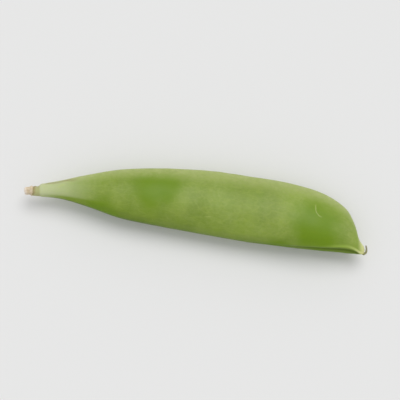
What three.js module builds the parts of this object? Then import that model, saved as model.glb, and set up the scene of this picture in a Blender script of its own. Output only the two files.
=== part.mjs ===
// A sugar snap pea pod, picked and lying on one cheek.
// Millimetres, +Z up. The pod runs along X from its stem end (-X) to its beak (+X). The nearly straight edge
// on the -Y side carries the seam, where the pod would open; the arched outer edge is on the +Y side.
import * as THREE from "three";

const { clamp, degToRad, lerp, smoothstep } = THREE.MathUtils;

// The driving dimensions. The pod is measured from the tip of the stem stub (X = 0) to the tip of the dry
// style (X = LENGTH), and Y from the line that joins these two tips.
const LENGTH = 89;

// Slices across the pod from stem to beak: the point where each meets the seam edge, the point where it
// meets the outer edge, and the pod's thickness there from cheek to cheek.
const STATIONS = [
  { seam: [1.9, 0.6], outer: [1.9, 0.6], thick: 0 },
  { seam: [2.1, -0.5], outer: [1.8, 1.8], thick: 2.3 },
  { seam: [5.4, -0.3], outer: [4.6, 3.1], thick: 3.0 },
  { seam: [10.0, -0.2], outer: [9.0, 4.8], thick: 4.2 },
  { seam: [16.8, -1.1], outer: [15.2, 7.4], thick: 6.0 },
  { seam: [25.5, -2.4], outer: [23.6, 10.3], thick: 8.0 },
  { seam: [35.5, -2.7], outer: [33.4, 12.3], thick: 9.15 },
  { seam: [46.0, -2.7], outer: [44.2, 13.7], thick: 9.55 },
  { seam: [56.5, -2.7], outer: [55.4, 14.3], thick: 9.65 },
  { seam: [66.3, -2.3], outer: [66.2, 14.4], thick: 9.35 },
  { seam: [75.0, -1.7], outer: [75.4, 13.4], thick: 8.2 },
  { seam: [81.6, -1.2], outer: [81.6, 10.8], thick: 6.4 },
  { seam: [85.4, -0.9], outer: [84.6, 7.1], thick: 4.2 },
  { seam: [87.2, -0.75], outer: [86.3, 3.4], thick: 2.4 },
  { seam: [88.0, -0.4], outer: [87.8, 1.6], thick: 1.3 },
  { seam: [88.3, 0.6], outer: [88.3, 0.6], thick: 0 },
];
const RINGS = 6 * (STATIONS.length - 1);
const SIDES = 28;

// The shape of a slice.
const LEAN = 0.12; // how far its fattest part leans towards the seam, as a share of half its width
const SEAM_KEENNESS = 0.85; // below 1 an edge is blunt, above 1 it is keen
const OUTER_KEENNESS = 1.2;
const FURROW_DEPTH = 0.45; // the furrow between the two lips of the seam
const FURROW_REACH = 1.0; // from the bottom of the furrow towards the crest of either lip
const SEAM_ROLL = 0.75; // how far the furrow wanders on to the upper cheek at the beak
const ROLL_START = 64;
const PEA_RISE = 0.16; // how far a pea lifts the cheek over it
const PEA_PITCH = 8.6;
const PEA_COUNT = 7;
const FIRST_PEA = 18; // where the swelling of the first pea starts

// How the whole pod bends.
const BEAK_TWIST = degToRad(12); // turns the seam upwards at the beak
const TWIST_START = 52;
const TIP_LIFT = 0.8; // how far both tips curl up off the surface
const REST_DEPTH = 0.2; // how far the soft skin settles, which leaves a small flat underneath

// The dry stub of the stem, snapped off short, with a shallow cup in its broken end.
const STUB_RADIUS = 1.0;
const STUB_BASE_RADIUS = 1.2;
const STUB_LENGTH = 1.35;
const STUB_CUP = 0.25;
const STUB_SLOPE = degToRad(12);

// The dry style: a thin horn that curls round the tip of the beak, from below it towards the outer edge. Its
// path is measured from that tip.
const STYLE_PATH = [[0.12, -1.15], [0.42, -0.88], [0.63, -0.3], [0.64, 0.4], [0.5, 1.2]];
const STYLE_BASE_RADIUS = 0.4;
const STYLE_TIP_RADIUS = 0.18;

// Reshapes a sphere: place(along, around) says where each of its points goes. Its poles become the two ends,
// "along" runs from 0 to 1 between them, and "around" is the angle from +Y towards +Z.
function drawnOut(rings, sides, place) {
  const geometry = new THREE.SphereGeometry(1, sides, rings).rotateZ(-Math.PI / 2);
  const position = geometry.getAttribute("position");
  for (let i = 0; i < position.count; i += 1) {
    const along = Math.acos(clamp(-position.getX(i), -1, 1)) / Math.PI;
    const around = Math.atan2(position.getZ(i), position.getY(i));
    position.setXYZ(i, ...place(along, around));
  }
  geometry.computeVertexNormals();
  return geometry;
}

// A smooth curve through one point of every station.
function rail(pointOf) {
  return new THREE.CatmullRomCurve3(STATIONS.map(pointOf), false, "catmullrom", 0.5);
}

const seamEdge = rail((station) => new THREE.Vector3(...station.seam, 0));
const outerEdge = rail((station) => new THREE.Vector3(...station.outer, 0));
const thickness = rail((station) => new THREE.Vector3(station.thick, 0, 0));

// How strongly the row of peas lifts the cheek at a place along the pod, from 0 to 1.
function peaSwell(x) {
  const peas = (x - FIRST_PEA) / PEA_PITCH;
  const row = smoothstep(peas, 0, 1) * (1 - smoothstep(peas, PEA_COUNT - 1, PEA_COUNT));
  return row * (0.5 - 0.5 * Math.cos(2 * Math.PI * peas));
}

// Where a point of the pod's skin lies.
function skinPoint(along, around) {
  const seam = seamEdge.getPoint(along);
  const outer = outerEdge.getPoint(along);
  const halfThick = thickness.getPoint(along).x / 2;
  const middle = seam.clone().lerp(outer, 0.5);
  const toOuter = outer.clone().sub(middle);

  const across = Math.cos(around); // 1 at the outer edge, -1 at the seam
  const up = Math.sin(around);
  const keenness = lerp(SEAM_KEENNESS, OUTER_KEENNESS, (across + 1) / 2);
  const cheek = halfThick * Math.sign(up) * Math.abs(up) ** keenness;
  const height = cheek + PEA_RISE * up ** 3 * peaSwell(middle.x);

  const fromFurrow = height - SEAM_ROLL * smoothstep(middle.x, ROLL_START, LENGTH - 4);
  const furrow = FURROW_DEPTH * Math.max(-across, 0) * Math.exp(-((fromFurrow / FURROW_REACH) ** 2));
  const furrowShare = (furrow * smoothstep(halfThick, 1, 3)) / Math.max(toOuter.length(), FURROW_DEPTH);
  const point = middle.clone().addScaledVector(toOuter, across - LEAN * up ** 2 + furrowShare);

  const twist = -BEAK_TWIST * smoothstep(middle.x, TWIST_START, LENGTH);
  const offset = point.y - middle.y;
  point.y = middle.y + offset * Math.cos(twist) - height * Math.sin(twist);
  point.z = offset * Math.sin(twist) + height * Math.cos(twist) + tipLift(point.x);
  return point;
}

function tipLift(x) {
  return TIP_LIFT * ((2 * x) / LENGTH - 1) ** 2;
}

// The pod itself, with the small flat it rests on.
function podGeometry() {
  const geometry = drawnOut(RINGS, SIDES, skinPoint);
  geometry.computeBoundingBox();
  const rest = geometry.boundingBox.min.z + REST_DEPTH;
  const position = geometry.getAttribute("position");
  for (let i = 0; i < position.count; i += 1) {
    position.setZ(i, Math.max(position.getZ(i), rest));
  }
  geometry.computeVertexNormals();
  geometry.computeBoundingBox();
  return geometry;
}

// The stub is turned about its own axis, from its broken end at the origin.
function stubGeometry() {
  const profile = [
    [0, STUB_CUP],
    [0.5 * STUB_RADIUS, 0.8 * STUB_CUP],
    [0.85 * STUB_RADIUS, 0],
    [STUB_RADIUS, 0.3],
    [0.96 * STUB_RADIUS, 0.5 * STUB_LENGTH],
    [STUB_BASE_RADIUS, STUB_LENGTH],
    [0, STUB_LENGTH],
  ];
  return new THREE.LatheGeometry(profile.map(([radius, y]) => new THREE.Vector2(radius, y)), 16);
}

// The style bends from +X towards +Y round the origin, where the tip of the beak is.
function styleGeometry() {
  const path = new THREE.CatmullRomCurve3(STYLE_PATH.map(([x, y]) => new THREE.Vector3(x, y, 0)));
  return drawnOut(16, 10, (along, around) => {
    const spine = path.getPointAt(along);
    const heading = path.getTangentAt(along);
    const radius = lerp(STYLE_BASE_RADIUS, STYLE_TIP_RADIUS, along) * Math.sin(Math.PI * along) ** 0.3;
    const aside = radius * Math.cos(around);
    return [spine.x - heading.y * aside, spine.y + heading.x * aside, radius * Math.sin(around)];
  });
}

function piece(name, geometry, material) {
  const mesh = new THREE.Mesh(geometry, new THREE.MeshStandardMaterial(material));
  mesh.name = name;
  return mesh;
}

const pod = piece("pod", podGeometry(), { color: 0x869a48, roughness: 0.45, metalness: 0 });

const stem = piece("stem_stub", stubGeometry(), { color: 0xd2bd96, roughness: 0.85, metalness: 0 });
stem.rotation.z = STUB_SLOPE - Math.PI / 2;
stem.position.set(0, 0.3, tipLift(0));

const style = piece("style", styleGeometry(), { color: 0x88825c, roughness: 0.85, metalness: 0 });
style.position.set(...STATIONS.at(-1).seam, tipLift(LENGTH));

const part = new THREE.Group();
part.add(pod, stem, style);

// The origin is at the middle of the bounding box, on the surface the pod lies on.
const box = new THREE.Box3().setFromObject(part);
part.position.set(-(box.min.x + box.max.x) / 2, -(box.min.y + box.max.y) / 2, -box.min.z);

export default part;
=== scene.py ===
"""A sugar snap pea pod lying on a pale surface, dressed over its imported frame.

The pod lies along X, stem end at -X and beak at +X. The seam that would open is on the -Y side and the arched
outer edge on the +Y side. Shapes are worked out in millimetres and placed in the frame, which is in metres.
"""

import logging
import math
from dataclasses import dataclass, fields
from enum import Enum
from functools import cached_property, lru_cache, partial, reduce
from typing import NamedTuple

import bmesh
import bpy
from mathutils import Matrix, Vector, noise

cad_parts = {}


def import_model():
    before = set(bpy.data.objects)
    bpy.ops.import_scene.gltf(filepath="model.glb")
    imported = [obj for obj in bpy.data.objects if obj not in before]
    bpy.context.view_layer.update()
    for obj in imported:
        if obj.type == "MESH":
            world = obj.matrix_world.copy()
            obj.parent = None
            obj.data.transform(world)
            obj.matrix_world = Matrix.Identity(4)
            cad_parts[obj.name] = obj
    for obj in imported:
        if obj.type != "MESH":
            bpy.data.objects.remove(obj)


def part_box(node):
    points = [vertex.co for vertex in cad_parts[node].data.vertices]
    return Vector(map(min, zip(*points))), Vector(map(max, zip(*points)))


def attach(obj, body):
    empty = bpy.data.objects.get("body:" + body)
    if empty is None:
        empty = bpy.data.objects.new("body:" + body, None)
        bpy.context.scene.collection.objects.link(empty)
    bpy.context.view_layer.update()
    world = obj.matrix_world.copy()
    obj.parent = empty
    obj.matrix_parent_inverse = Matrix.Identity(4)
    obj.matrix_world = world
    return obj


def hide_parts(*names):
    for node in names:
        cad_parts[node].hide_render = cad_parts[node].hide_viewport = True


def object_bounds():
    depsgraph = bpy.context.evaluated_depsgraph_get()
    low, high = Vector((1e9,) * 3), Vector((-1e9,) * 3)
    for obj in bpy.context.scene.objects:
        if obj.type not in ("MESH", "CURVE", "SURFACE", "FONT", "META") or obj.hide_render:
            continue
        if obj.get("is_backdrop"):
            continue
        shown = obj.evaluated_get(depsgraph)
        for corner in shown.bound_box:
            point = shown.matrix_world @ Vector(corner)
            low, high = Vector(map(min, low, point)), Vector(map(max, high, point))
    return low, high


Socket = bpy.types.NodeSocket
Pair = tuple[float, float]

LOG = logging.getLogger("pod")
MM = 0.001
TINY = 1e-4  # millimetres


# --- Small helpers ---


def clamp01(value: float) -> float:
    """Return the value held between 0 and 1."""
    return min(max(value, 0.0), 1.0)


def mix(low: float, high: float, share: float) -> float:
    """Return the value that lies the given share of the way from low to high."""
    return low + (high - low) * share


def smooth_step(value: float, start: float, end: float) -> float:
    """Return 0 before start, 1 after end and a smooth rise between them."""
    share = clamp01((value - start) / (end - start))
    return share * share * (3.0 - 2.0 * share)


def hump(distance: float, reach: float) -> float:
    """Return a soft bump that is 1 at no distance and fades over the reach."""
    return math.exp(-((distance / reach) ** 2))


class Mark(Enum):
    """The attributes that a piece's skin carries, which its material reads."""

    PLACE = "skin_place"  # millimetres along the pod, and round it from the seam
    SEAM = "seam"  # 1 on the crest of the seam's upper lip, where a highlight is painted
    FURROW = "furrow"  # 1 at the bottom of the seam's furrow, where shade is painted, and in the heart of the stub's break
    OUTER = "outer_edge"  # 1 along the outer edge
    NECK = "neck"  # 1 where the pod meets its stem
    COLLAR = "collar"  # 1 on the dull ring that the sepals left, next to the stem
    BROWN_LINE = "brown_line_mark"  # 1 on the fine brown line beside the outer edge, near the neck
    BEAK = "beak"  # 1 on the nub at the tip, and where the crest's painted highlight runs into it
    PEAS = "peas"  # 1 over the middle of each pea
    END = "far_end"  # 1 at the end of a dry piece that is away from the pod


class Colour(NamedTuple):
    """A surface colour, as the eye reads it, from 0 to 255 a channel."""

    red: int
    green: int
    blue: int

    def linear(self) -> tuple[float, ...]:
        """Return the colour as the shader takes it, opaque."""
        shares = (channel / 255 for channel in self)
        return (*(c / 12.92 if c <= 0.04045 else ((c + 0.055) / 1.055) ** 2.4 for c in shares), 1.0)


# --- Node trees ---


class Graph:
    """Adds nodes to one node tree and joins them."""

    def __init__(self, tree: bpy.types.NodeTree) -> None:
        """Start with a tree, and empty it."""
        self.tree = tree
        tree.nodes.clear()

    @cached_property
    def where(self) -> Socket:
        """Return the Object coordinates, in metres."""
        return self.add("ShaderNodeTexCoord").outputs["Object"]

    @cached_property
    def start(self) -> bpy.types.NodeOutputs:
        """Return a group's inputs, by name."""
        return self.add("NodeGroupInput").outputs

    @cached_property
    def skin(self) -> Socket:
        """Return the skin's own coordinates, in millimetres."""
        return self.add("ShaderNodeAttribute", attribute_name=Mark.PLACE.value).outputs["Vector"]

    def add(self, kind: str, inputs: dict | None = None, **settings: object) -> bpy.types.Node:
        """Add a node.

        Args:
            kind: The node's Blender type.
            inputs: Socket name or number to a value or a colour, or to the output that feeds it.
            **settings: Properties of the node itself.

        Returns:
            The new node.
        """
        node = self.tree.nodes.new(kind)
        for name, value in settings.items():
            setattr(node, name, value)
        for key, value in (inputs or {}).items():
            if isinstance(value, Socket):
                self.tree.links.new(value, node.inputs[key])
            else:
                node.inputs[key].default_value = value.linear() if isinstance(value, Colour) else value
        return node

    def maths(self, operation: str, *inputs: object, clamp: bool = False) -> Socket:
        """Return the result of a Math node on values or outputs."""
        numbered = dict(enumerate(inputs))
        return self.add("ShaderNodeMath", numbered, operation=operation, use_clamp=clamp).outputs[0]

    def vectors(self, operation: str, *inputs: object) -> Socket:
        """Return the result of a Vector Math node on vectors or outputs."""
        return self.add("ShaderNodeVectorMath", dict(enumerate(inputs)), operation=operation).outputs[0]

    def away(self, where: Socket, point: Vector) -> Socket:
        """Return how far a place is from a point."""
        return self.add("ShaderNodeVectorMath", {0: where, 1: point}, operation="DISTANCE").outputs["Value"]

    def product(self, *factors: object) -> Socket:
        """Return the product of values and outputs."""
        return reduce(partial(self.maths, "MULTIPLY"), factors)

    def fade(self, value: Socket, start: float, end: float) -> Socket:
        """Return a smooth 0 to 1 mask as the value goes from start to end."""
        inputs = {"Value": value, "From Min": start, "From Max": end}
        return self.add("ShaderNodeMapRange", inputs, interpolation_type="SMOOTHSTEP").outputs[0]

    def between(self, low: float, high: float, mask: Socket) -> Socket:
        """Return a value that goes from low to high as a mask goes from 0 to 1."""
        return self.add("ShaderNodeMapRange", {"Value": mask, "To Min": low, "To Max": high}).outputs[0]

    def blend(self, share: object, first: object, second: object) -> Socket:
        """Return a colour mix of two colours or outputs, by a share or an output."""
        return self.add("ShaderNodeMix", {"Factor": share, 6: first, 7: second}, data_type="RGBA").outputs[2]

    def paint(self, colour: Socket, *layers: tuple) -> Socket:
        """Lay tints over a colour, in order.

        Args:
            colour: The colour to start with.
            *layers: Each layer's tint, then the masks and shares whose product is how much of it shows.

        Returns:
            The painted colour.
        """
        for tint, *factors in layers:
            colour = self.blend(self.product(*factors), colour, tint)
        return colour

    def bump(self, strength: float, depth: float, height: Socket) -> Socket:
        """Return a bumpy normal, by its strength and its depth in millimetres."""
        inputs = {"Strength": strength, "Distance": depth * MM, "Height": height}
        return self.add("ShaderNodeBump", inputs).outputs[0]

    def mark(self, mark: Mark) -> Socket:
        """Return the output of the skin attribute with that name."""
        return self.add("ShaderNodeAttribute", attribute_name=mark.value).outputs["Fac"]


class Pattern:
    """What a shared node group draws. A subclass's fields are the group's inputs, besides the place."""

    @staticmethod
    def wire(graph: Graph) -> dict[str, Socket]:
        """Wire the group's nodes and return its outputs, by name."""
        raise NotImplementedError

    def tree(self) -> bpy.types.NodeTree:
        """Build the group, unless a pattern of the same kind has built it.

        Returns:
            The group's node tree.
        """
        name = type(self).__name__.lower()
        if name in bpy.data.node_groups:
            return bpy.data.node_groups[name]
        tree = bpy.data.node_groups.new(name, "ShaderNodeTree")
        tree.interface.new_socket("place", in_out="INPUT", socket_type="NodeSocketVector")
        for size in fields(self):
            tree.interface.new_socket(size.name, in_out="INPUT", socket_type="NodeSocketFloat")
        graph = Graph(tree)
        made = self.wire(graph)
        for output in made:
            tree.interface.new_socket(output, in_out="OUTPUT", socket_type="NodeSocketFloat")
        graph.add("NodeGroupOutput", made)
        return tree

    def draw(self, graph: Graph, place: Socket, output: str = "mask") -> Socket:
        """Return one of the group's outputs at a place."""
        inputs = {"place": place, **vars(self)}
        return graph.add("ShaderNodeGroup", inputs, node_tree=self.tree()).outputs[output]


@dataclass(frozen=True)
class Mottling(Pattern):
    """Soft cloudy patches."""

    patch: float  # in millimetres
    contrast: float = 0.5

    @staticmethod
    def wire(graph: Graph) -> dict[str, Socket]:
        """Wire the patches' mask and their raw height.

        Args:
            graph: The group's nodes.

        Returns:
            Its outputs, by name.
        """
        scale = graph.maths("DIVIDE", 1.0 / MM, graph.start["patch"])
        inputs = {"Vector": graph.start["place"], "Scale": scale, "Detail": 4.0, "Roughness": 0.55}
        cloud = graph.add("ShaderNodeTexNoise", inputs).outputs["Fac"]
        gain = graph.maths("MULTIPLY", graph.start["contrast"], 6.0)
        centred = graph.maths("SUBTRACT", cloud, 0.5)
        return {"mask": graph.maths("MULTIPLY_ADD", centred, gain, 0.5, clamp=True), "height": cloud}


@dataclass(frozen=True)
class Fibres(Pattern):
    """Fine lines that run along the first coordinate of the place, which is in millimetres."""

    width: float
    stretch: float  # how many times longer than wide

    @staticmethod
    def wire(graph: Graph) -> dict[str, Socket]:
        """Wire the lines' mask.

        Args:
            graph: The group's nodes.

        Returns:
            Its outputs, by name.
        """
        x, y, z = graph.add("ShaderNodeSeparateXYZ", {0: graph.start["place"]}).outputs
        x = graph.maths("DIVIDE", x, graph.start["stretch"])
        drawn = graph.add("ShaderNodeCombineXYZ", {0: x, 1: y, 2: z}).outputs[0]
        scale = graph.maths("DIVIDE", 1.0, graph.start["width"])
        inputs = {"Vector": drawn, "Scale": scale, "Detail": 3.0, "Roughness": 0.6}
        return {"mask": graph.fade(graph.add("ShaderNodeTexNoise", inputs).outputs["Fac"], 0.32, 0.68)}


@dataclass(frozen=True)
class Flecks(Pattern):
    """Small round spots."""

    apart: float  # in millimetres
    radius: float  # as a share of that
    share: float  # of the places that hold a spot

    @staticmethod
    def wire(graph: Graph) -> dict[str, Socket]:
        """Wire the spots' mask.

        Args:
            graph: The group's nodes.

        Returns:
            Its outputs, by name.
        """
        scale = graph.maths("DIVIDE", 1.0 / MM, graph.start["apart"])
        cells = graph.add("ShaderNodeTexVoronoi", {"Vector": graph.start["place"], "Scale": scale}).outputs
        away = graph.maths("DIVIDE", cells["Distance"], graph.start["radius"])
        chance = graph.add("ShaderNodeSeparateColor", {0: cells["Color"]}).outputs[0]
        chosen = graph.maths("LESS_THAN", chance, graph.start["share"])
        return {"mask": graph.product(graph.maths("SUBTRACT", 1.0, away, clamp=True), chosen)}


@dataclass(frozen=True)
class Waver:
    """Soft noise that shifts a place, so that what is drawn from it wavers. Sizes are in millimetres."""

    patch: float
    strength: float  # about twice the furthest shift

    def shifted(self, graph: Graph) -> Socket:
        """Shift the Object coordinates.

        Args:
            graph: The material's nodes.

        Returns:
            The shifted coordinates.
        """
        inputs = {"Vector": graph.where, "Scale": 1 / (self.patch * MM), "Detail": 2.0}
        centred = graph.vectors("ADD", graph.add("ShaderNodeTexNoise", inputs).outputs["Color"], (-0.5,) * 3)
        return graph.vectors("MULTIPLY_ADD", centred, (self.strength * MM,) * 3, graph.where)


@dataclass(frozen=True)
class Scuff:
    """A short, thin, curved scratch on the skin. Sizes are in millimetres in the frame, angles in degrees."""

    place: tuple[float, float, float]
    towards: float  # the way from its middle to the centre of its bend, in plan
    bend: float
    length: float
    width: float
    strength: float

    def mask(self, graph: Graph, where: Socket) -> Socket:
        """Draw the scratch where the skin meets a thin shell, near its place.

        Args:
            graph: The material's nodes.
            where: The Object coordinates, shifted a little.

        Returns:
            The mask, up to the scratch's strength.
        """
        middle = Vector(self.place) * MM
        turn = math.radians(self.towards)
        centre = middle + Vector((math.cos(turn), math.sin(turn), 0.0)) * self.bend * MM
        off_line = graph.maths("ABSOLUTE", graph.maths("SUBTRACT", graph.away(where, centre), self.bend * MM))
        line = graph.fade(off_line, self.width * MM, 0.3 * self.width * MM)
        near = graph.fade(graph.away(where, middle), self.length / 2 * MM, self.length / 4 * MM)
        return graph.product(line, near, self.strength)


@dataclass(frozen=True)
class SheenGap:
    """A soft-edged place that the bloom and painted sheen leave off, where the green shows clearer. Sizes are
    in millimetres in the frame.
    """

    place: tuple[float, float, float]
    reach: float
    core: float = 0.35  # how much of its reach is wholly clear of them

    def mask(self, graph: Graph, where: Socket) -> Socket:
        """Return the place's mask, from the Object coordinates."""
        away = graph.away(where, Vector(self.place) * MM)
        return graph.fade(away, self.reach * MM, self.core * self.reach * MM)


# --- Finishes ---


class Finish:
    """A procedural surface finish: a subclass names it and wires its nodes."""

    name: str

    def wire(self, graph: Graph) -> dict[str, object]:
        """Wire the finish and return the inputs of its Principled BSDF."""
        raise NotImplementedError

    def material(self) -> bpy.types.Material:
        """Build the finish's material.

        Returns:
            The material.
        """
        made = bpy.data.materials.new(self.name)
        made.use_nodes = True
        graph = Graph(made.node_tree)
        shader = graph.add("ShaderNodeBsdfPrincipled", self.wire(graph))
        graph.add("ShaderNodeOutputMaterial", {"Surface": shader.outputs["BSDF"]})
        return made


@dataclass(frozen=True)
class WaxySkin(Finish):
    """The pod's skin: fresh green flesh under a thin wax."""

    name: str = "waxy_pod_skin"
    fresh: Colour = Colour(118, 145, 16)
    deep: Colour = Colour(98, 124, 10)
    # the clearer green where the bloom and painted sheen are left off
    vivid: Colour = Colour(106, 137, 0)
    pale: Colour = Colour(162, 178, 70)
    # pale bloom: partly the skin's own wax, partly a painted hazy sheen
    bloom_and_sheen: Colour = Colour(168, 180, 112)
    # painted sheen along the outer edge
    rim: Colour = Colour(178, 186, 118)
    # painted shade: darker green along the seam, on both cheeks
    seam_shade: Colour = Colour(84, 110, 8)
    # painted highlight on the crest of the seam's upper lip
    crest_highlight: Colour = Colour(172, 200, 84)
    # painted shade in the seam's furrow
    furrow: Colour = Colour(78, 102, 0)
    neck: Colour = Colour(200, 206, 160)
    collar: Colour = Colour(172, 170, 116)
    dry: Colour = Colour(150, 122, 80)
    # a fine brown line beside the outer edge, near the neck
    brown_line: Colour = Colour(128, 112, 54)
    # the nub's own pale tint, also painted as highlight where the crest runs into the nub
    nub_and_crest_highlight: Colour = Colour(214, 214, 150)
    scar: Colour = Colour(184, 194, 118)
    scuffs: tuple[Scuff, ...] = (
        Scuff((29.7, 1.9, 9.0), 32.0, 3.6, 4.6, 0.2, 0.45),
        Scuff((-35.4, -2.9, 6.5), -60.0, 5.0, 3.0, 0.3, 0.4),
        Scuff((3.0, -4.5, 8.0), 100.0, 7.0, 4.0, 0.12, 0.35),
        Scuff((-12.0, 4.5, 8.5), 210.0, 4.5, 3.0, 0.14, 0.4),
        Scuff((-6.0, 1.0, 0.0), 70.0, 6.0, 4.5, 0.14, 0.5),
        Scuff((22.0, 3.5, 1.0), 190.0, 3.5, 3.5, 0.2, 0.45),
    )
    # places left clear of the bloom and painted sheen
    sheen_gaps: tuple[SheenGap, ...] = (
        SheenGap((-11.3, 1.8, 9.0), 9.0),
        SheenGap((-25.0, -7.5, 4.9), 6.5),
        SheenGap((30.2, -2.6, 7.5), 9.6),
        SheenGap((22.0, -7.4, 5.0), 6.0),
        SheenGap((8.0, 2.0, 0.0), 9.0),
        SheenGap((-20.0, 0.0, 1.0), 6.0),
    )
    scuff_waver: Waver = Waver(2.0, 0.8)
    sheen_gap_waver: Waver = Waver(6.0, 7.0)
    patches: Mottling = Mottling(14.0)
    clouds: Mottling = Mottling(2.6, 0.4)
    # breaks up the bloom and painted sheen
    haze: Mottling = Mottling(19.0, 0.8)
    # breaks up the painted sheen along the outer edge
    speckle: Mottling = Mottling(1.2)
    bloom_mottling: Mottling = Mottling(0.7, 0.3)
    wear: Mottling = Mottling(4.5, 0.35)
    grain: Mottling = Mottling(0.45)
    fibres: Fibres = Fibres(0.35, 14.0)
    flecks: Flecks = Flecks(1.1, 0.14, 0.45)
    seam_shade_span: Pair = (3.6, 1.2)  # painted shade along the seam: from none to all, in millimetres round the skin from the seam
    bloom_and_sheen_span: Pair = (1.5, 9.0)
    bloom_and_sheen_shares: Pair = (0.1, 0.24)  # least and most of the bloom and painted sheen
    # least and most of the painted sheen along the outer edge
    rim_sheen_shares: Pair = (0.55, 0.85)
    browned_end: Pair = (0.993, 1.0)  # of the neck's mask
    vein_slant: float = math.radians(-38)
    vein_width: float = 0.09
    bumps: Pair = (0.35, 0.05)  # their strength, and their depth in millimetres
    gloss: Pair = (0.42, 0.52)  # least and most roughness
    furrow_dullness: float = 0.4

    def wire(self, graph: Graph) -> dict[str, object]:
        """Wire green mottling, veins, a painted sheen on the outer edge, a pale bloom that is partly painted
        sheen, painted shade and a painted highlight at the seam, a brown line, scratches and a waxy gloss.

        Args:
            graph: The material's nodes.

        Returns:
            The inputs of its Principled BSDF.
        """
        veins = self.veins(graph)
        fibres = self.fibres.draw(graph, graph.skin)
        colour = self.ends(graph, self.flesh(graph, veins), fibres)
        bent = self.scuff_waver.shifted(graph)
        scratches = [(self.scar, scuff.mask(graph, bent)) for scuff in self.scuffs]
        gloss = graph.between(*self.gloss, self.wear.draw(graph, graph.where))
        grain = self.grain.draw(graph, graph.where, "height")
        height = graph.maths("ADD", graph.product(grain, 0.5), graph.product(veins, 0.3))
        height = graph.maths("ADD", height, graph.product(fibres, graph.mark(Mark.NECK)))
        dulled = graph.product(graph.mark(Mark.FURROW), self.furrow_dullness)
        return {
            "Base Color": graph.paint(colour, *scratches),
            "Roughness": graph.maths("ADD", gloss, dulled),
            "Normal": graph.bump(*self.bumps, height),
            "Subsurface Weight": 0.18,
            "Subsurface Radius": (0.7, 1.0, 0.25),
            "Subsurface Scale": 0.9 * MM,
            "Specular IOR Level": 0.26,
            "Coat Weight": 0.04,
            "Coat Roughness": 0.35,
        }

    def flesh(self, graph: Graph, veins: Socket) -> Socket:
        """Paint the cheeks and edges: mottled green, with veins and flecks, painted shade along the seam, a
        painted sheen on the outer edge, and a pale bloom that is partly the wax and partly painted sheen,
        left off in clearer patches.

        Args:
            graph: The material's nodes.
            veins: The mask of the veins.

        Returns:
            The colour.
        """
        where, outer = graph.where, graph.mark(Mark.OUTER)
        from_seam = graph.add("ShaderNodeSeparateXYZ", {0: graph.skin}).outputs[1]
        bent = self.sheen_gap_waver.shifted(graph)
        sheen_gap = reduce(partial(graph.maths, "MAXIMUM"), [rub.mask(graph, bent) for rub in self.sheen_gaps])
        rim_sheen_share = graph.between(*self.rim_sheen_shares, self.speckle.draw(graph, where))
        # pale bloom, partly wax and partly painted sheen, growing away from the seam
        haze = graph.maths("ADD", self.haze.draw(graph, where), graph.fade(from_seam, *self.bloom_and_sheen_span))
        bloom_and_sheen_share = graph.between(*self.bloom_and_sheen_shares, self.bloom_mottling.draw(graph, where))
        return graph.paint(
            graph.blend(self.patches.draw(graph, where), self.deep, self.fresh),
            (self.pale, self.clouds.draw(graph, where), 0.16),
            (self.pale, veins, 0.16),
            (self.pale, self.flecks.draw(graph, where), 0.4),
            (self.pale, graph.mark(Mark.PEAS), 0.14),
            # painted shade along the seam
            (self.seam_shade, graph.fade(from_seam, *self.seam_shade_span), 0.5),
            # clearer green where the bloom and painted sheen are left off
            (self.vivid, sheen_gap, 0.9),
            # painted sheen along the outer edge
            (self.rim, outer, rim_sheen_share),
            (self.fresh, outer, veins, 0.3),
            # bloom and painted sheen, left off in the clearer patches
            (self.bloom_and_sheen, haze, graph.maths("SUBTRACT", 1.0, sheen_gap), bloom_and_sheen_share),
        )

    def ends(self, graph: Graph, colour: Socket, fibres: Socket) -> Socket:
        """Lay the seam's painted shade and highlight, the pale neck and its browning, the brown line, and the
        beak's nub over the flesh.

        Args:
            graph: The material's nodes.
            colour: The colour of the flesh.
            fibres: The mask of the neck's fibres.

        Returns:
            The colour.
        """
        neck = graph.mark(Mark.NECK)
        return graph.paint(
            colour,
            # painted shade in the seam's furrow
            (self.furrow, graph.mark(Mark.FURROW), 0.85),
            # painted highlight along the crest of the seam's upper lip
            (self.crest_highlight, graph.mark(Mark.SEAM), 0.9),
            (self.neck, neck, 0.85),
            (self.brown_line, graph.mark(Mark.BROWN_LINE), graph.fade(fibres, -0.2, 0.8), 0.75),
            (self.collar, graph.mark(Mark.COLLAR), 0.8),
            (self.dry, graph.fade(neck, *self.browned_end), graph.between(0.3, 1.3, fibres), 0.75),
            # the nub's tint, and painted highlight on the crest next to it
            (self.nub_and_crest_highlight, graph.mark(Mark.BEAK), 0.85),
        )

    def veins(self, graph: Graph) -> Socket:
        """Draw fine veins that run slantwise from the seam towards the outer edge.

        Args:
            graph: The material's nodes.

        Returns:
            The mask of the veins.
        """
        inputs = {"Vector": graph.skin, "Rotation": (0.0, 0.0, self.vein_slant), "Scale": (0.32, 0.95, 1.0)}
        slanted = graph.add("ShaderNodeMapping", inputs).outputs[0]
        waver = graph.add("ShaderNodeTexNoise", {"Vector": graph.skin, "Scale": 0.35, "Detail": 2.0})
        bent = graph.vectors("MULTIPLY_ADD", waver.outputs["Color"], (1.2,) * 3, slanted)
        inputs = {"Vector": bent, "Scale": 0.75}
        cells = graph.add("ShaderNodeTexVoronoi", inputs, feature="DISTANCE_TO_EDGE")
        return graph.fade(cells.outputs["Distance"], self.vein_width, 0.0)


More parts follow.
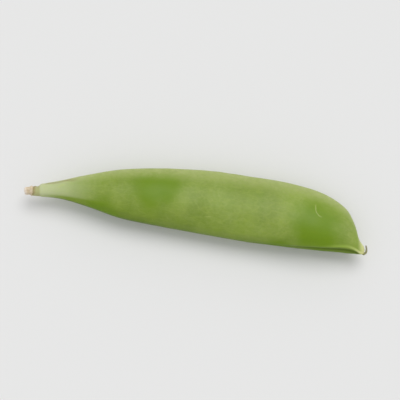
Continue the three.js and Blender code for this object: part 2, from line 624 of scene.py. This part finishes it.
@dataclass(frozen=True)
class DryStem(Finish):
    """The stub's finish: dry, pinkish brown fibres, palest where it snapped."""

    name: str = "dry_stem"
    bark: Colour = Colour(222, 206, 172)
    streaks: Colour = Colour(198, 174, 136)
    broken: Colour = Colour(238, 222, 202)
    heart: Colour = Colour(188, 156, 126)
    clouds: Mottling = Mottling(0.8, 0.6)
    fibres: Fibres = Fibres(0.22, 6.0)
    bumps: Pair = (0.8, 0.08)

    def wire(self, graph: Graph) -> dict[str, object]:
        """Wire brown fibres, a pale broken end and its dark heart.

        Args:
            graph: The material's nodes.

        Returns:
            The inputs of its Principled BSDF.
        """
        fibres = self.fibres.draw(graph, graph.skin)
        colour = graph.paint(
            graph.blend(fibres, self.streaks, self.bark),
            (self.broken, self.clouds.draw(graph, graph.where), 0.35),
            (self.broken, graph.mark(Mark.END)),
            (self.heart, graph.mark(Mark.FURROW)),
        )
        return {"Base Color": colour, "Normal": graph.bump(*self.bumps, fibres), "Roughness": 0.8}


@dataclass(frozen=True)
class DryStyle(Finish):
    """The style's finish: papery, fading from olive to a greyish tip, with darker fibres."""

    name: str = "dry_style"
    base: Colour = Colour(150, 148, 92)
    tip: Colour = Colour(150, 146, 122)
    husk: Colour = Colour(112, 108, 78)
    fibres: Fibres = Fibres(0.12, 8.0)
    bumps: Pair = (0.6, 0.04)

    def wire(self, graph: Graph) -> dict[str, object]:
        """Wire a fade from the base to the tip over fine fibres.

        Args:
            graph: The material's nodes.

        Returns:
            The inputs of its Principled BSDF.
        """
        fibres = self.fibres.draw(graph, graph.skin)
        colour = graph.blend(graph.mark(Mark.END), self.base, self.tip)
        colour = graph.paint(colour, (self.husk, fibres, 0.6))
        return {"Base Color": colour, "Normal": graph.bump(*self.bumps, fibres), "Roughness": 0.75}


@dataclass(frozen=True)
class PaleFloor(Finish):
    """The floor's finish: plain, pale and faintly warm."""

    name: str = "pale_floor"
    colour: Colour = Colour(233, 232, 230)

    def wire(self, graph: Graph) -> dict[str, object]:
        """Return the inputs for a plain colour."""
        return {"Base Color": self.colour, "Roughness": 1.0, "Specular IOR Level": 0.0}


# --- Meshes ---


def finished_object(bm: bmesh.types.BMesh, name: str, finish: Finish) -> bpy.types.Object:
    """Turn a bmesh into a smooth-shaded, dressed object in the scene.

    Args:
        bm: The shape, in metres, which is freed.
        name: The object's name.
        finish: The finish of its one material.

    Returns:
        The new object.
    """
    for face in bm.faces:
        face.smooth = True
    mesh = bpy.data.meshes.new(name)
    bm.to_mesh(mesh)
    bm.free()
    mesh.materials.append(finish.material())
    piece = bpy.data.objects.new(name, mesh)
    bpy.context.scene.collection.objects.link(piece)
    return piece


def stand_in(piece: bpy.types.Object, node: str) -> None:
    """Let a piece of the pod stand for a frame node.

    Args:
        piece: The dressed object.
        node: The node's name.
    """
    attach(piece, "root")
    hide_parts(node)
    LOG.info("%s: %d faces, stands for %s", piece.name, len(piece.data.polygons), node)


class Slice(NamedTuple):
    """A slice across the pod, in millimetres from the stub's tip and from the line of the two tips."""

    seam_x: float
    seam_y: float
    outer_x: float
    outer_y: float
    thick: float


@dataclass(frozen=True)
class Spot:
    """A place on the skin, as the slice through it has it. Lengths are in millimetres."""

    x: float  # along the pod
    size: float  # 0 where the pod is slight, 1 where it is full
    across: float  # 1 at the outer edge, -1 at the seam
    up: float  # 1 on top of the upper cheek, -1 under the lower one
    height: float  # over the middle of the slice
    above: float  # over the bottom of the furrow
    roll: float  # 1 where the furrow has wandered all the way
    swell: float  # 1 over the middle of a pea

    @property
    def seam_side(self) -> float:
        """Return 1 at the seam and 0 from halfway to the outer edge."""
        return max(-self.across, 0.0)

    @property
    def outer_side(self) -> float:
        """Return 1 at the outer edge and 0 from halfway to the seam."""
        return max(self.across, 0.0)

    def shrunk(self, least: float) -> float:
        """Return the size of the seam's forms: 1 on the full pod, less where it is slight."""
        return mix(least, 1.0, self.size)


@dataclass(eq=False)
class PodShell:
    """The green shell: the pod itself. Sizes are in millimetres."""

    length: float = 89.0
    slices: tuple[Slice, ...] = (
        Slice(1.9, 0.6, 1.9, 0.6, 0.0),
        Slice(2.1, -0.5, 1.8, 1.8, 2.3),
        Slice(5.4, -0.3, 4.6, 3.1, 3.0),
        Slice(10.0, -0.2, 9.0, 4.8, 4.2),
        Slice(16.8, -1.1, 15.2, 7.4, 6.0),
        Slice(25.5, -2.4, 23.6, 10.3, 8.0),
        Slice(35.5, -2.7, 33.4, 12.3, 9.15),
        Slice(46.0, -2.7, 44.2, 13.7, 9.55),
        Slice(56.5, -2.7, 55.4, 14.3, 9.65),
        Slice(66.3, -2.3, 66.2, 14.4, 9.35),
        Slice(75.0, -1.7, 75.4, 13.4, 8.2),
        Slice(81.6, -1.2, 81.6, 10.8, 6.4),
        Slice(85.4, -0.9, 84.6, 7.1, 4.2),
        Slice(87.2, -0.75, 86.3, 3.4, 2.4),
        Slice(88.0, -0.4, 87.8, 1.6, 1.3),
        Slice(88.3, 0.6, 88.3, 0.6, 0.0),
    )
    rings: int = 280
    sides: int = 144
    lean: float = 0.12  # of a slice's fattest part towards the seam, as a share
    seam_keenness: float = 0.85  # below 1 an edge is blunt, above 1 it is keen
    outer_keenness: float = 1.2
    furrow_depth: float = 0.45  # between the two lips of the seam
    furrow_reach: float = 1.0
    groove_depth: float = 0.1  # the fine line at the bottom of the furrow
    groove_reach: float = 0.2
    lip_height: float = 1.35  # from the bottom of the furrow to either lip's crest
    lip_rise: float = 0.1
    hollow_height: float = 2.4  # from the furrow to the hollow past either lip
    hollow_depth: float = 0.12
    form_reach: float = 0.5  # of a lip, a hollow, the rim of the neck and the nick
    keel_rise: float = 0.06  # the fine ridge along the outer edge
    keel_reach: float = 0.4
    seam_roll: float = 0.75  # how far the furrow wanders on to the upper cheek at the beak
    roll_start: float = 64.0
    collar_end: float = 4.0  # where the ring that the sepals left meets the neck
    collar_step: float = 0.05  # how much slighter it is, as a share
    nick_place: float = 3.2  # a nick in the outer edge of the collar
    nick_depth: float = 0.3
    crest_line: Pair = (1.3, 0.28)  # the painted highlight along the upper lip's crest: height over the furrow, and reach
    crest_span: Pair = (76.0, 87.0)  # where it comes out along the pod
    crest_nub: Pair = (82.0, 87.0)  # where the painted highlight takes the nub's tint
    nub_span: Pair = (85.6, 87.8)
    dark_reach: float = 0.65  # of the painted shade in the furrow
    neck_start: float = 2.0
    neck_ends: Pair = (20.5, 10.5)  # of its pale skin, on a cheek and at the seam
    brown_line_start: Pair = (4.4, 6.0)
    brown_line_end: Pair = (11.5, 14.5)
    brown_line_place: float = 0.85  # 1 at the outer edge
    brown_line_reach: float = 0.09
    pea_rise: float = 0.16
    pea_pitch: float = 8.6
    pea_strengths: tuple[float, ...] = (0.7, 0.95, 1.1, 0.85, 1.05, 1.0, 0.75)
    first_pea: float = 18.0
    beak_twist: float = math.radians(12)
    twist_start: float = 52.0
    tip_lift: float = 0.8
    rest_depth: float = 0.2
    swells: Pair = (0.13, 0.085)  # the skin's broad unevenness: height, and turns per mm
    ripples: Pair = (0.035, 0.38)  # its fine unevenness
    puckers: Pair = (0.05, 1.1)  # its unevenness by the crest at the beak
    drawn_in: float = 0.04  # keeps the uneven skin from standing proud
    skin_radius: float = 6.5  # about how far the skin is from the pod's middle line
    cheeks_apart: float = 20.0  # keeps the two cheeks' patterns from being the same
    finish: Finish = WaxySkin()

    @lru_cache(maxsize=None)
    def slice_at(self, along: float) -> Slice:
        """Find the slice at a place along the pod, on a smooth curve through all of them.

        Args:
            along: Share of the way from stem to beak.

        Returns:
            The slice.
        """
        first = [2 * a - b for a, b in zip(self.slices[0], self.slices[1])]
        last = [2 * a - b for a, b in zip(self.slices[-1], self.slices[-2])]
        rows = [first, *self.slices, last]
        span = along * (len(rows) - 3)
        index = min(int(span), len(rows) - 4)
        t = span - index
        numbers = (
            0.5 * (2 * b + t * (c - a + t * (2 * a - 5 * b + 4 * c - d + t * (3 * b - a - 3 * c + d))))
            for a, b, c, d in zip(*rows[index:index + 4])
        )
        return Slice(*numbers)

    def pea_swell(self, x: float) -> float:
        """Find how strongly the row of peas lifts the cheek.

        Args:
            x: The place along the pod.

        Returns:
            0 between two peas, and the pea's own strength over its middle.
        """
        peas = (x - self.first_pea) / self.pea_pitch
        if not 0.0 < peas < len(self.pea_strengths):
            return 0.0
        return self.pea_strengths[int(peas)] * (0.5 - 0.5 * math.cos(2 * math.pi * peas))

    def lift(self, x: float) -> float:
        """Return how far the curl of the tips raises a place along the pod."""
        return self.tip_lift * ((2 * x) / self.length - 1) ** 2

    def collar(self, x: float) -> float:
        """Return 1 on the ring next to the stem, and 0 past it."""
        return 1.0 - smooth_step(x, self.collar_end - 0.5, self.collar_end)

    def girth(self, x: float) -> float:
        """Return how the collar and the fuller rim of the neck past it scale the slices."""
        rim = hump(x - self.collar_end - 0.3, self.form_reach)
        return 1.0 + self.collar_step * (rim - self.collar(x))

    def spot(self, x: float, half_thick: float, around: float) -> Spot:
        """Find where a point of a slice is.

        Args:
            x: The slice's place along the pod.
            half_thick: Half the slice's thickness.
            around: Angle from the outer edge over the upper cheek: pi at the seam.

        Returns:
            The spot.
        """
        across, up = math.cos(around), math.sin(around)
        size = smooth_step(half_thick, 0.6, 3.0)
        swell = self.pea_swell(x)
        keenness = mix(self.seam_keenness, self.outer_keenness, (across + 1) / 2)
        height = half_thick * math.copysign(abs(up) ** keenness, up) + self.pea_rise * up**3 * swell
        roll = smooth_step(x, self.roll_start, self.length - 4)
        above = height - self.seam_roll * roll * mix(-0.3, 1.0, size)
        return Spot(x, size, across, up, height, above, roll, swell)

    def relief(self, spot: Spot) -> float:
        """Find how far the seam's and the edge's own forms move the skin.

        Args:
            spot: The place on the skin.

        Returns:
            The move towards the outer edge, in millimetres.
        """
        away = abs(spot.above)
        furrow = self.furrow_depth * hump(spot.above, self.furrow_reach * spot.shrunk(0.5))
        groove = self.groove_depth * hump(spot.above, self.groove_reach)
        lips = self.lip_rise * hump(away - self.lip_height * spot.shrunk(0.45), self.form_reach)
        hollows = self.hollow_depth * hump(away - self.hollow_height, self.form_reach)
        keel = self.keel_rise * hump(spot.height, self.keel_reach)
        nick = self.nick_depth * hump(spot.x - self.nick_place, self.form_reach)
        moved = (furrow + groove) * spot.seam_side * spot.size
        moved -= lips * smooth_step(spot.seam_side, 0.7, 0.95)
        moved += hollows * spot.size * smooth_step(spot.seam_side, 0.5, 0.9)
        moved += keel * spot.size * smooth_step(spot.outer_side, 0.8, 0.99)
        return moved - nick * smooth_step(spot.across, 0.2, 0.9)

    def marks(self, spot: Spot) -> dict[Mark, float]:
        """Find what the skin is like at a place, for its material.

        Args:
            spot: The place on the skin.

        Returns:
            Its marks.
        """
        x, (height, reach) = spot.x, self.crest_line
        # where a highlight is painted on the crest of the seam's upper lip
        crest = hump(spot.above - height * spot.shrunk(0.45), reach)
        crest *= smooth_step(spot.seam_side, 0.6, 0.85) * spot.roll
        # where shade is painted in the seam's furrow
        furrow = hump(spot.above, self.dark_reach * spot.shrunk(0.4)) * smooth_step(spot.seam_side, 0.7, 0.95)
        off_line = spot.across - self.brown_line_place - 0.03 * math.sin(1.4 * x)
        brown_line = hump(off_line, self.brown_line_reach) * smooth_step(spot.up, 0.1, 0.3)
        neck_end = mix(*self.neck_ends, smooth_step(spot.seam_side, 0.4, 0.75))
        return {
            Mark.SEAM: crest * mix(0.25, 1.0, smooth_step(x, *self.crest_span)),
            Mark.FURROW: furrow * mix(0.5, 1.0, spot.roll),
            Mark.OUTER: smooth_step(spot.outer_side, 0.52, 1.0),
            Mark.NECK: 1.0 - smooth_step(x, self.neck_start, neck_end),
            Mark.COLLAR: self.collar(x),
            Mark.BROWN_LINE: brown_line * smooth_step(x, *self.brown_line_start) * (1.0 - smooth_step(x, *self.brown_line_end)),
            Mark.BEAK: clamp01(smooth_step(x, *self.nub_span) + crest * smooth_step(x, *self.crest_nub)),
            Mark.PEAS: clamp01(spot.swell) * max(abs(spot.up) - 0.4, 0.0) ** 2 * 2.5,
        }

    def skin_point(self, along: float, around: float) -> tuple[Vector, dict[Mark, float]]:
        """Find one point of the skin.

        Args:
            along: Share of the way from stem to beak.
            around: Angle from the outer edge over the upper cheek: pi at the seam.

        Returns:
            The point in millimetres, and its marks.
        """
        here = self.slice_at(along)
        middle = Vector(((here.seam_x + here.outer_x) / 2, (here.seam_y + here.outer_y) / 2, 0.0))
        girth = self.girth(middle.x)
        to_outer = (Vector((here.outer_x, here.outer_y, 0.0)) - middle) * girth
        spot = self.spot(middle.x, girth * here.thick / 2, around)
        moved = self.relief(spot) / max(to_outer.length, self.furrow_depth)
        shift = spot.across - self.lean * spot.up**2 + moved
        point = middle + to_outer * shift

        twist = -self.beak_twist * smooth_step(middle.x, self.twist_start, self.length)
        offset = point.y - middle.y
        point.y = middle.y + offset * math.cos(twist) - spot.height * math.sin(twist)
        point.z = offset * math.sin(twist) + spot.height * math.cos(twist) + self.lift(point.x)
        return point, self.marks(spot)

    def uneven(self, point: Vector) -> float:
        """Find how far the skin's natural unevenness moves a point.

        Args:
            point: The point, in millimetres.

        Returns:
            The move along its normal, in millimetres.
        """
        swell = self.swells[0] * noise.noise(point * self.swells[1] + Vector((3.1, 0.0, 7.7)))
        ripple = self.ripples[0] * noise.noise(point * self.ripples[1])
        by_crest = smooth_step(point.x, 72.0, 84.0) * (1.0 - smooth_step(point.y, 0.0, 3.0))
        pucker = self.puckers[0] * noise.noise(point * self.puckers[1]) * by_crest
        return swell + ripple + pucker - self.drawn_in

    def build(self) -> Vector:
        """Build the shell.

        Returns:
            The step in millimetres from the pod's own measures to the frame.
        """
        bm = bmesh.new()
        bmesh.ops.create_uvsphere(bm, u_segments=self.sides, v_segments=self.rings, radius=1.0)
        bmesh.ops.rotate(bm, verts=bm.verts, cent=(0, 0, 0), matrix=Matrix.Rotation(math.pi / 2, 3, "Y"))
        layers = {mark: bm.verts.layers.float.new(mark.value) for mark in Mark if mark is not Mark.PLACE}
        place = bm.verts.layers.float_vector.new(Mark.PLACE.value)
        for vert in bm.verts:
            along = round(math.acos(max(-1.0, min(1.0, -vert.co.x))) / math.pi, 6)
            around = math.atan2(vert.co.z, vert.co.y)
            vert.co, marks = self.skin_point(along, around)
            for mark, value in marks.items():
                vert[layers[mark]] = value
            from_seam = (math.pi - abs(around)) * self.skin_radius
            vert[place] = (vert.co.x, from_seam, self.cheeks_apart * math.sin(around))
        bm.normal_update()
        steps = [vert.normal * self.uneven(vert.co) * smooth_step(vert.co.x, 3.0, 20.0) for vert in bm.verts]
        for vert, step in zip(bm.verts, steps):
            vert.co += step
        shift = self.settle(bm)
        bmesh.ops.translate(bm, verts=bm.verts, vec=shift)
        bmesh.ops.scale(bm, verts=bm.verts, vec=(MM,) * 3)
        stand_in(finished_object(bm, "pod_shell", self.finish), "pod")
        return shift

    def settle(self, bm: bmesh.types.BMesh) -> Vector:
        """Flatten the skin where it rests, and find the step that takes it to the frame.

        Args:
            bm: The skin, in the pod's own millimetres.

        Returns:
            The step, in millimetres.
        """
        low, high = (Vector(end(v.co[i] for v in bm.verts) for i in range(3)) for end in (min, max))
        rest = low.z + self.rest_depth
        for vert in bm.verts:
            vert.co.z = max(vert.co.z, rest)
        frame_low, frame_high = (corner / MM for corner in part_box("pod"))
        middle = (frame_low + frame_high - low - high) / 2
        return Vector((frame_high.x - high.x, middle.y, frame_low.z - rest))


@dataclass
class StemStub:
    """The short dry stub of the stem, snapped off. Sizes are in millimetres."""

    shift: Vector  # from the pod's own measures to the frame
    lift: float  # how far the curl of the pod raises it
    tip: Pair = (0.0, 0.3)
    slope: float = math.radians(12)
    radius: float = 1.0
    base_radius: float = 1.2
    length: float = 1.6
    buried: float = 0.7
    cup: float = 0.35
    sides: int = 56
    ridges: int = 9
    ridge_depth: float = 0.05  # as a share of the radius
    crumble_depth: float = 0.09
    fray: float = 0.22  # how far the broken rim juts and dips
    fresh_break: Pair = (0.2, 0.65)  # how far along the break's pale tint fades out
    heart: Pair = (0.3, 0.62)  # how far from its middle the dark heart fades out
    finish: Finish = DryStem()

    def profile(self) -> list[Pair]:
        """Find the stub's outline.

        Returns:
            Points from the cupped end to the buried end, as (along, radius).
        """
        cup, neck, end = self.cup, self.length, self.length + self.buried
        tip = ((cup, 0.0), (0.9 * cup, 0.25), (0.55 * cup, 0.5), (0.0, 0.7), (-0.15, 0.8), (0.0, 0.92))
        bark = ((0.3, 0.98), (0.55, 0.95), (0.85, 0.93), (neck - 0.5, 0.97))
        flare = ((neck - 0.3, 0.9), (neck - 0.1, 0.98), (neck + 0.15, 1.0), (neck + 0.45, 0.9))
        rows = [(tip + bark, self.radius), (flare + ((end - 0.1, 0.6), (end, 0.0)), self.base_radius)]
        return [(x, share * radius) for row, radius in rows for x, share in row]

    def roughen(self, vert: bmesh.types.BMVert) -> None:
        """Ridge the bark lengthways and fray the broken rim.

        Args:
            vert: The vertex to move.
        """
        radius = math.hypot(vert.co.y, vert.co.z)
        if radius < TINY:
            return
        angle = math.atan2(vert.co.z, vert.co.y)
        ridge = self.ridge_depth * math.cos(self.ridges * angle + 1.5 * math.sin(2 * angle))
        crumble = self.crumble_depth * noise.noise(vert.co * 2.6)
        share = radius / self.radius
        vert.co.y *= 1 + (ridge + crumble) * share
        vert.co.z *= 1 + (ridge + crumble) * share
        rim = hump(share - 0.85, 0.25) * (1 - smooth_step(vert.co.x, 0.1, 0.5))
        jut = noise.noise(Vector((3 * math.cos(angle), 3 * math.sin(angle), 1.7))) + 0.4
        vert.co.x += self.fray * rim * jut

    def build(self) -> None:
        """Build the stub."""
        bm = bmesh.new()
        line = [bm.verts.new((x, r, 0.0)) for x, r in self.profile()]
        edges = [bm.edges.new(pair) for pair in zip(line, line[1:])]
        bmesh.ops.spin(
            bm, geom=line + edges, cent=(0, 0, 0), axis=(1, 0, 0), dvec=(0, 0, 0),
            angle=math.tau, steps=self.sides, use_merge=True, use_duplicate=False,
        )
        bmesh.ops.remove_doubles(bm, verts=bm.verts, dist=TINY)
        long_edges = [e for e in bm.edges if e.calc_length() > 0.2]
        bmesh.ops.subdivide_edges(bm, edges=long_edges, cuts=1, use_grid_fill=True)
        bmesh.ops.triangulate(bm, faces=[f for f in bm.faces if len(f.verts) > 4])
        place = bm.verts.layers.float_vector.new(Mark.PLACE.value)
        end = bm.verts.layers.float.new(Mark.END.value)
        heart = bm.verts.layers.float.new(Mark.FURROW.value)
        for vert in bm.verts:
            radius = math.hypot(vert.co.y, vert.co.z)
            vert[place] = vert.co
            vert[end] = 1.0 - smooth_step(vert.co.x, *self.fresh_break)
            in_cup = 1.0 - smooth_step(vert.co.x, 0.4, 0.8)
            vert[heart] = (1.0 - smooth_step(radius, *self.heart)) * in_cup
            self.roughen(vert)
        bmesh.ops.recalc_face_normals(bm, faces=bm.faces)
        turn = Matrix.Rotation(self.slope, 4, "Z")
        home = Matrix.Translation(Vector((*self.tip, self.lift)) + self.shift)
        bmesh.ops.transform(bm, matrix=Matrix.Scale(MM, 4) @ home @ turn, verts=bm.verts)
        stand_in(finished_object(bm, "broken_stem", self.finish), "stem_stub")


@dataclass
class Style:
    """The dry style that curls up from the beak. Sizes are in millimetres."""

    shift: Vector  # from the pod's own measures to the frame
    lift: float  # how far the curl of the pod raises it
    start: Pair = (87.95, -0.35)
    buried: float = 0.7
    sunk: float = 0.3  # how far its buried end slants into the beak
    length: float = 2.6
    tight_bend: float = 0.7  # radius of its curl by the beak
    open_bend: float = 3.0
    base_radius: float = 0.4
    tip_radius: float = 0.18
    sides: int = 16
    steps: int = 30
    opening: Pair = (0.35, 0.6)  # how far along it the bend opens
    thinning: float = 0.6  # below 1 it thins fastest near the beak
    knobs: Pair = (0.14, 3.1)  # its unevenness: share of the radius, and turns per mm
    finish: Finish = DryStyle()

    def build(self) -> None:
        """Build the style."""
        bm = bmesh.new()
        place = bm.verts.layers.float_vector.new(Mark.PLACE.value)
        end = bm.verts.layers.float.new(Mark.END.value)
        upright = Matrix.Rotation(math.pi / 2, 4, "Y")
        circle = bmesh.ops.create_circle(bm, segments=self.sides, radius=self.base_radius, matrix=upright)
        edges, spine, heading, radius = bm.edges[:], Vector(), 0.0, self.base_radius
        for step in range(1, self.steps + 1):
            share = step / self.steps
            made = bmesh.ops.extrude_edge_only(bm, edges=edges)["geom"]
            ring = [part for part in made if isinstance(part, bmesh.types.BMVert)]
            edges = [part for part in made if isinstance(part, bmesh.types.BMEdge)]
            bend = mix(self.tight_bend, self.open_bend, smooth_step(share, *self.opening))
            angle = self.length / self.steps / bend
            centre = spine + bend * Vector((-math.sin(heading), math.cos(heading), 0.0))
            turn = Matrix.Rotation(angle, 3, "Z")
            bmesh.ops.rotate(bm, verts=ring, cent=centre, matrix=turn)
            spine = centre + turn @ (spine - centre)
            heading += angle
            knobbly = 1 + self.knobs[0] * noise.noise(spine * self.knobs[1])
            wanted = mix(self.base_radius, self.tip_radius, share**self.thinning) * knobbly
            bmesh.ops.scale(bm, verts=ring, vec=(wanted / radius,) * 3, space=Matrix.Translation(-spine))
            radius = wanted
            for index, vert in enumerate(ring):
                around = math.tau * index / self.sides
                vert[place] = (share * self.length, radius * math.cos(around), radius * math.sin(around))
                vert[end] = smooth_step(share, 0.0, 0.8)
        ends = bmesh.ops.holes_fill(bm, edges=[e for e in bm.edges if e.is_boundary], sides=0)["faces"]
        bmesh.ops.poke(bm, faces=ends, offset=self.tip_radius / 2)
        bmesh.ops.translate(bm, verts=circle["verts"], vec=(-self.buried, self.sunk, 0.0))
        bmesh.ops.recalc_face_normals(bm, faces=bm.faces)
        home = Matrix.Translation(Vector((*self.start, self.lift)) + self.shift)
        bmesh.ops.transform(bm, matrix=Matrix.Scale(MM, 4) @ home, verts=bm.verts)
        stand_in(finished_object(bm, "curled_style", self.finish), "style")


# --- Studio ---


def direction(azimuth: float, elevation: float) -> Vector:
    """Return the unit vector towards an azimuth, from -Y towards +X, and an elevation, in degrees."""
    a, e = math.radians(azimuth), math.radians(elevation)
    return Vector((math.sin(a) * math.cos(e), -math.cos(a) * math.cos(e), math.sin(e)))


def aimed(data: bpy.types.ID, target: Vector, away: Vector, roll: float = 0.0) -> bpy.types.Object:
    """Put a lamp or a camera in the scene.

    Args:
        data: Its data block, which gives it its name.
        target: The point that it looks at.
        away: The step from there to its place.
        roll: How far it is turned about its own view, in degrees.

    Returns:
        The new object.
    """
    made = bpy.data.objects.new(data.name, data)
    made.location = target + away
    level = (-away).to_track_quat("-Z", "Y").to_matrix().to_4x4()
    made.rotation_euler = (level @ Matrix.Rotation(math.radians(roll), 4, "Z")).to_euler()
    bpy.context.scene.collection.objects.link(made)
    return made


@dataclass
class Studio:
    """The floor, the sky, the lamp and the camera. Sizes are in metres and angles in degrees."""

    low: Vector  # the lowest corner of the pod's box
    high: Vector
    floor_side: float = 12.0
    sky_level: float = 0.63
    key_azimuth: float = 168.0  # 0 on the seam side and 90 past the beak
    key_elevation: float = 62.0
    key_spread: float = 38.0  # how wide the lamp looks from the pod
    key_level: float = 0.43  # the light it gives a surface that faces it, as a share of plain white
    camera_elevation: float = 83.0
    camera_roll: float = 10.1
    lens: float = 100.0
    sensor: float = 36.0
    pod_share: float = 0.87  # of the picture's width
    floor_finish: Finish = PaleFloor()
    backdrop: Colour = Colour(232, 232, 231)
    daylight: Colour = Colour(250, 252, 255)

    def build_floor(self) -> None:
        """Build the floor under the pod."""
        bm = bmesh.new()
        bmesh.ops.create_grid(bm, x_segments=4, y_segments=4, size=self.floor_side / 2)
        floor = finished_object(bm, "floor", self.floor_finish)
        floor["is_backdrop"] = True

    def build_sky(self) -> None:
        """Light the scene evenly from all round, and show the floor's own tone past its edge."""
        world = bpy.data.worlds.new("sky")
        world.use_nodes = True
        graph = Graph(world.node_tree)
        light = graph.add("ShaderNodeBackground", {"Color": self.daylight, "Strength": self.sky_level})
        seen = graph.add("ShaderNodeBackground", {"Color": self.backdrop, "Strength": 1.0})
        path = graph.add("ShaderNodeLightPath").outputs
        mirrored = graph.maths("MAXIMUM", path["Is Glossy Ray"], path["Is Transmission Ray"])
        direct = graph.maths("MAXIMUM", path["Is Camera Ray"], mirrored)
        shown = graph.add("ShaderNodeMixShader", {0: direct, 1: light.outputs[0], 2: seen.outputs[0]})
        graph.add("ShaderNodeOutputWorld", {"Surface": shown.outputs[0]})
        bpy.context.scene.world = world

    def build_key(self) -> None:
        """Build the one lamp: broad, soft, and far enough away to light all the floor alike."""
        data = bpy.data.lights.new("key", "SUN")
        data.angle = math.radians(self.key_spread)
        data.energy = self.key_level * math.pi
        aimed(data, Vector(), direction(self.key_azimuth, self.key_elevation))

    def build_camera(self) -> None:
        """Aim a camera down at the pod."""
        data = bpy.data.cameras.new("camera")
        data.lens, data.sensor_width = self.lens, self.sensor
        data.clip_start, data.clip_end = 0.01, 10.0
        width = (self.high.x - self.low.x) / self.pod_share
        away = direction(0.0, self.camera_elevation) * (width * self.lens / self.sensor)
        bpy.context.scene.camera = aimed(data, (self.low + self.high) / 2, away, self.camera_roll)

    def build(self) -> None:
        """Build the whole studio."""
        self.build_floor()
        self.build_sky()
        self.build_key()
        self.build_camera()
        bpy.context.scene.view_settings.view_transform = "Standard"


def main() -> None:
    """Load the frame, build the pod and the studio, and log each piece."""
    logging.basicConfig(level=logging.INFO, format="%(message)s")
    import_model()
    frame_low, frame_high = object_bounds()
    shell = PodShell()
    shift = shell.build()
    StemStub(shift, shell.lift(0.0)).build()
    Style(shift, shell.lift(shell.length)).build()
    Studio(frame_low, frame_high).build()


if __name__ == "__main__":
    main()
